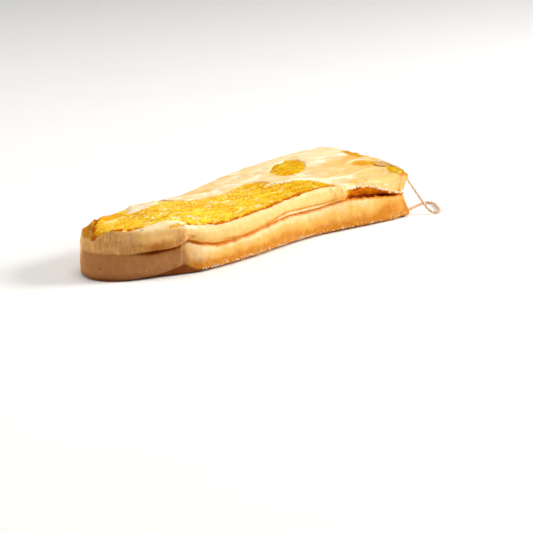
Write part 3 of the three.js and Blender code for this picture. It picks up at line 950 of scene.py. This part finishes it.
def lean_masks(points, crack):
    x, y, z = points.T
    wide = lerp(1.8, 1.4, rise(x, -14, -4))
    # painted shade of the crevice behind the rim
    border = bell(past_rim(x, y), 1.8, wide) * (x < 116)
    groove = np.maximum(in_groove(x), rise(x, 145, 150)) * fall(behind_front(x, y), 4, 8)
    groove = groove * fall(z - top_height(x, y), -4, -2.5)
    # painted shade at the bottom of the groove, where the lean meets the lower fat
    groove_floor_shade = groove * fall(z - seam_height(x, y) + 0.6 * noise(points, 3, 48), 0.5, 2.2)
    return {
        "crack": crack,
        "border": np.clip(border * (0.85 + 0.8 * noise(points, (2.5, 2.5, 2.5), 46)) + 0.8 * groove, 0, 1),
        "dark": np.clip(np.maximum(groove_floor_shade, in_pit(x, y)), 0, 1),
        "plate": rise(y - x, COVER_CORNER + 3, COVER_CORNER + 5) * rise(y, 37, 40),
        "far": rise(x, 50, 96) * (1 - groove),
        "groove": groove,
    }


def lean_piece(material):
    points, quads = layer_points(box_grid(396, 108, 14), lean_bottom, lean_top, tuck=0.2)
    tuck_lean(points)
    crack = lean_cracks(points)
    height = -0.4 * crack**2 + 0.4 * noise(points, (12, 3, 4), 44) + 0.3 * noise(points, (3, 1.1, 1.2), 45)
    moved = points + point_normals(points, quads) * height[:, None]
    piece = make_piece("lean_layer", moved, quads.tolist(), material, lean_masks(points, crack))
    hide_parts("lean")


def cover_start(u):
    """v at which the cover piece starts, some way in front of the cover's own border."""
    x, front = plan(u, 0)
    back = plan(u, 1)[1]
    return np.clip((along(LEAN_BACK, x) - 14 - front) / (back - front), 0, 0.8)


def cover_masks(points):
    x, y, z = points.T
    reach = cover_reach(x, y)
    under_top = z - top_height(x, y)
    # painted highlight on the ridge behind the cover's border
    ridge = bell(reach, 2.6, 1.7) * (0.5 + noise(points, (9, 5, 5), 39)) * rise(-into_ovals(x, y), 4, 7)
    back = np.maximum(rise(y, 36, 50) * rise(x, 100, 125), 0.4 * fall(x, 8, 18))
    far = rise(x, 105, 150) * fall(y, 35, 50)
    border = fall(reach, -0.3, 0.7) * rise(under_top, -2.4, -1.4)
    gold = in_patch(x, y) * rise(under_top, -4.5, -2.5)
    none = np.zeros(len(points))
    return {
        "warm": 0.12 + 0.4 * far + 0.35 * bell(reach, 0, 0.8),
        "pink": none + 0.8,
        "seam": 0.9 * border + 0.4 * gold,
        # painted shade in the slot
        "dark": np.clip(1.3 * in_slot(x, y), 0, 1),
        "rind": none,
        "cut": none,
        "high": none,
        # painted highlight on the ridge, the streak, the far back and the cover over the narrow end, where it
        # stands in for light
        "pale_and_highlight": np.clip(np.maximum.reduce([ridge, streak(x, y), 0.35 * back]), 0, 1),
        "streaks": 1 - 0.7 * rise(x, 120, 138) * fall(y, 25, 40),
        "gold": gold,
    }


def cover_piece(material):
    points, quads = layer_points(box_grid(400, 100, 12), cover_bottom, cover_top, start_v=cover_start)
    x, y = points.T[:2]  # views: moving y moves the points
    behind_rim = fall(x, GROOVE_START - 2, GROOVE_START + 1)
    y += 0.7 * behind_rim * fall(behind_front(x, y), 1.5, 4)
    moved = relief(points, quads, COVER_RELIEF)
    piece = make_piece("fat_cover", moved, quads.tolist(), material, cover_masks(points))
    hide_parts("cover_fat")


def side_point(x, height, out):
    """A place on the long side at that height, with its larger lumps, moved out by so much."""
    front = along(FRONT_OUTLINE, x)
    point = np.stack([x, front + front_set_in(x, front, height), height], 1)
    point[:, 1] -= lumps(point, LOWER_RELIEF[:2]) + out
    return point


def lumps_piece(name, centres, radii, material):
    """Many small rounded lumps as one piece."""
    u, v, t, quads = box_grid(4, 4, 4)
    ball = np.stack([u, v, t], 1) * 2 - 1
    ball /= np.linalg.norm(ball, axis=1, keepdims=True)
    points = (centres[:, None] + ball[None] * radii[:, None]).reshape(-1, 3)
    faces = (quads[None] + np.arange(len(centres))[:, None, None] * len(ball)).reshape(-1, 4)
    make_piece(name, points, faces.tolist(), material, {})


def beads_piece(material):
    drawn = np.random.default_rng(5)
    x = drawn.uniform(BEADS["from"], BEADS["to"], BEADS["count"])
    crowded = 0.25 + 0.75 * rise(noise(flat_points(x, 0 * x), 14, 18), -0.2, 0.3)
    x = x[drawn.uniform(0, 1, len(x)) < crowded]
    height = BEADS["height"] + drawn.normal(0, 0.35, len(x)) + 0.5 * noise(flat_points(x, 0 * x), 9, 19)
    radius = drawn.uniform(*BEADS["radius"], len(x))[:, None]
    radii = radius * drawn.uniform(0.8, 1.3, (len(x), 3))
    lumps_piece("fat_beads", side_point(x, height, 0.05), radii, material)


def granules_piece(material):
    drawn = np.random.default_rng(8)
    x = np.arange(GRANULES["from"], GRANULES["to"], GRANULES["step"])
    x = x + drawn.uniform(-0.6, 0.6, len(x))
    height = lip_height(x, along(FRONT_OUTLINE, x)) + drawn.uniform(-0.5, 1.8, len(x))
    radius = drawn.uniform(*GRANULES["radius"], len(x))[:, None]
    radii = radius * drawn.uniform([1, 0.7, 0.6], [1.7, 1, 0.9], (len(x), 3))
    lumps_piece("lip_granules", side_point(x, height, -0.1), radii, material)


def smooth_route(knots, step=0.25):
    """Points on one smooth curve through the knots, a step apart."""
    knots = np.array(knots, float)
    ends = np.vstack([2 * knots[0] - knots[1], knots, 2 * knots[-1] - knots[-2]])
    out = []
    for a, b, c, d in zip(ends, ends[1:], ends[2:], ends[3:]):
        for t in np.linspace(0, 1, 24, endpoint=False):
            curve = 2 * b + (c - a) * t + (2 * a - 5 * b + 4 * c - d) * t**2
            curve = curve + (3 * b - a - 3 * c + d) * t**3
            out.append(0.5 * curve)
    out = np.array(out + [knots[-1]])
    run = np.concatenate([[0], np.cumsum(np.linalg.norm(np.diff(out, axis=0), axis=1))])
    even = np.linspace(0, run[-1], int(run[-1] / step) + 1)
    return np.stack([np.interp(even, run, out[:, axis]) for axis in range(3)], 1), run[-1]


def across_line(line):
    """Two directions at right angles to the line at each of its points."""
    tangent = np.gradient(line, axis=0)
    tangent /= np.linalg.norm(tangent, axis=1, keepdims=True)
    side = np.cross(tangent, NEVER_ALONG)
    side /= np.linalg.norm(side, axis=1, keepdims=True)
    return side, np.cross(tangent, side)


def tube(line, radius, sides=8):
    """Points and faces of a closed tube round a line, with one radius for each point."""
    side, other = across_line(line)
    turn = np.arange(sides) * 2 * math.pi / sides
    ring = side[:, None] * np.cos(turn)[None, :, None] + other[:, None] * np.sin(turn)[None, :, None]
    points = (line[:, None] + radius[:, None, None] * ring).reshape(-1, 3)
    faces = []
    for i in range(len(line) - 1):
        for k in range(sides):
            a, b = i * sides + k, i * sides + (k + 1) % sides
            faces.append((a, b, b + sides, a + sides))
    last = (len(line) - 1) * sides
    return points, faces + [tuple(range(sides))[::-1], tuple(range(last, last + sides))]


def twine_piece(material):
    """Two plies laid round each other along the twine's route, the first part paler as painted light."""
    line, length = smooth_route(TWINE_ROUTE)
    side, other = across_line(line)
    angle = np.linspace(0, length / TWINE_PLY["turn"] * 2 * math.pi, len(line))
    # painted light: the first part of the twine, which lies in shade, made paler
    pale = fall(np.linspace(0, length, len(line)), 18, 48)
    points, faces, strand, start = [], [], [], []
    for ply in range(2):
        at = angle + ply * math.pi
        lay = TWINE_PLY["out"] * (side * np.cos(at)[:, None] + other * np.sin(at)[:, None])
        ring, own_faces = tube(line + lay, TWINE_PLY["radius"] + 0.04 * noise(line, 2.0, 60 + ply))
        offset = sum(len(p) for p in points)
        faces += [tuple(k + offset for k in face) for face in own_faces]
        points.append(ring)
        strand.append(np.full(len(ring), ply))
        start.append(np.repeat(pale, len(ring) // len(line)))
    masks = {"strand": np.concatenate(strand), "start": np.concatenate(start)}
    piece = make_piece("hanging_twine", np.concatenate(points), faces, material, masks)
    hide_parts("twine")


# ---- Camera, light and floor ----

VIEW_AZIMUTH = -45.0
VIEW_ELEVATION = 16.5
VIEW_DISTANCE = 1.0
PHOTO_SIDE = 533
PIXELS_PER_METRE = 2000
SENSOR = 36.0
LOOK_AT = Vector((-0.02714, -0.05128, 0.0))


def towards(azimuth, elevation):
    a, e = math.radians(azimuth), math.radians(elevation)
    return Vector((math.sin(a) * math.cos(e), -math.cos(a) * math.cos(e), math.sin(e)))


def add_aimed(name, data, target, back, distance):
    """Puts a camera or light at that distance from its target, which it looks at."""
    made = bpy.data.objects.new(name, data)
    made.location = target + back * distance
    made.rotation_euler = back.to_track_quat("Z", "Y").to_euler()
    bpy.context.collection.objects.link(made)
    return made


def add_camera():
    data = bpy.data.cameras.new("camera")
    data.sensor_width = SENSOR
    data.lens = SENSOR * PIXELS_PER_METRE * VIEW_DISTANCE / PHOTO_SIDE
    back = towards(VIEW_AZIMUTH, VIEW_ELEVATION)
    bpy.context.scene.camera = add_aimed("camera", data, LOOK_AT, back, VIEW_DISTANCE)


def add_light(name, azimuth, elevation, distance, size, watts, colour=(1, 1, 1)):
    data = bpy.data.lights.new(name, "AREA")
    data.shape = "DISK"
    data.size = size
    data.energy = watts
    data.color = colour
    add_aimed(name, data, Vector(), towards(azimuth, elevation), distance)


def add_stage():
    mesh = bpy.data.meshes.new("floor")
    half = 6.0
    corners = [(-half, -half, 0), (half, -half, 0), (half, half, 0), (-half, half, 0)]
    mesh.from_pydata(corners, [], [(0, 1, 2, 3)])
    s = Shader("pale_floor")
    colour = s.mix(s.noise(60, 2, 0.5), (246, 246, 246), (250, 250, 250))
    mesh.materials.append(s.finish(colour, 0.9, s.bump(s.noise(30, 2, 0.5), 0.01), specular=0.1))
    floor = bpy.data.objects.new("floor", mesh)
    bpy.context.collection.objects.link(floor)
    world = bpy.data.worlds.new("studio")
    world.use_nodes = True
    world.node_tree.nodes["Background"].inputs["Color"].default_value = (1, 1, 1, 1)
    world.node_tree.nodes["Background"].inputs["Strength"].default_value = 0.2
    bpy.context.scene.world = world
    bpy.context.scene.view_settings.view_transform = "Standard"


LOWER_TONES = {"pale": (248, 216, 158), "warm": (238, 184, 92), "deep": (208, 130, 14)}
UPPER_TONES = {"pale": (244, 204, 128), "warm": (236, 184, 94), "deep": (204, 130, 34)}
COVER_TONES = {"pale": (250, 218, 164), "warm": (243, 197, 118), "deep": (214, 144, 44)}
COVER_BORDER = (204, 126, 20)

add_camera()
twine_piece(twine_material())

lower_fat_piece(fat_material("lower_smoked_fat", **LOWER_TONES))
upper_fat_piece(fat_material("upper_smoked_fat", **UPPER_TONES))
lean_piece(lean_material())
cover_piece(fat_material("cover_smoked_fat", **COVER_TONES, seam=COVER_BORDER))
pale_lumps = bead_material()
beads_piece(pale_lumps)
granules_piece(pale_lumps)

add_light("key", azimuth=54, elevation=28, distance=1.3, size=0.5, watts=17.5, colour=(1.0, 0.97, 0.92))
add_light("overhead", azimuth=0, elevation=85, distance=1.2, size=0.9, watts=6)
add_light("back", azimuth=-130, elevation=24, distance=1.2, size=0.4, watts=4, colour=(1.0, 0.95, 0.86))
add_light("fill", azimuth=-75, elevation=50, distance=1.3, size=0.7, watts=1.6, colour=(1.0, 0.93, 0.82))
add_stage()
